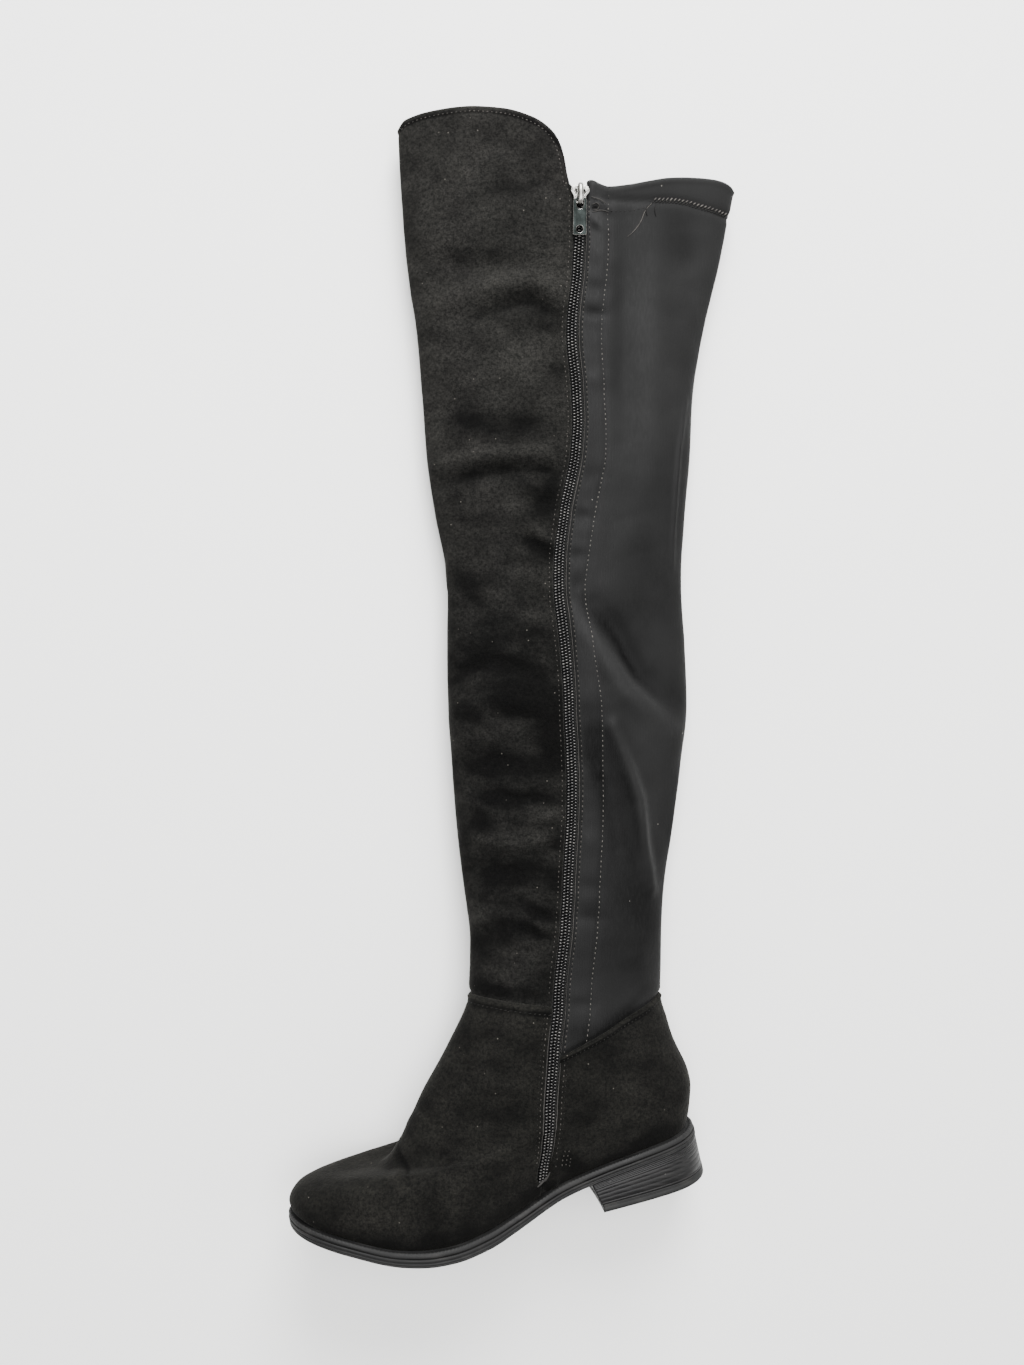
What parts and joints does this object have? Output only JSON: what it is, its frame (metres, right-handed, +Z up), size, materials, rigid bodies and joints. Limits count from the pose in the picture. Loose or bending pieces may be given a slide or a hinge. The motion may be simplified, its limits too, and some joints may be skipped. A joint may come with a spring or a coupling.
{
  "type": "thigh-high boot",
  "caption": "Right over-the-knee boot with a faux suede front, stretch back, full-length inner zip and low block heel, lying slack on its outer side.",
  "frame": {"origin": "centre of the bounding box on the floor that the boot lies on", "axes": "+Y runs up the shaft from the foot to the collar, -X is towards the toe, +Z is up from the floor, out of the boot's inner side"},
  "size_m": [0.2946, 0.7362, 0.0909],
  "materials": {
    "foot_suede": "brushed faux suede nap, charcoal black",
    "shaft_suede": "brushed faux suede nap, charcoal black",
    "stretch_fabric": "smooth satin-like stretch knit, dark grey",
    "insole_fabric": "matt black lining cloth",
    "welt_rubber": "matt, ribbed",
    "sole_rubber": "matt, ribbed side",
    "heel_stack": "satin, engraved stack lines",
    "top_lift_rubber": "matt",
    "zip_tape": "woven black tape",
    "zip_coil_nylon": "glossy black nylon",
    "slider_metal": "bright nickel plate",
    "pull_metal": "black lacquer with worn bright edges"
  },
  "bodies": {
    "boot": {"upper": "foot_suede", "shaft_front": "shaft_suede", "shaft_back": "stretch_fabric", "insole": "insole_fabric", "welt": "welt_rubber", "outsole": "sole_rubber", "heel": "heel_stack", "heel_top_lift": "top_lift_rubber", "zip_tape_front": "zip_tape", "zip_tape_back": "zip_tape", "zip_coil": "zip_coil_nylon", "zip_slider": "slider_metal"},
    "zip_pull": {"zip_pull": "pull_metal"}
  },
  "joints": [
    {"name": "zip_pull_swing", "type": "hinge", "parent": "boot", "child": "zip_pull", "pos_m": [0.04115, 0.30596, 0.04475], "axis": [-0.998, 0.0574, 0.0251], "range_deg": [0, 135]}
  ]
}
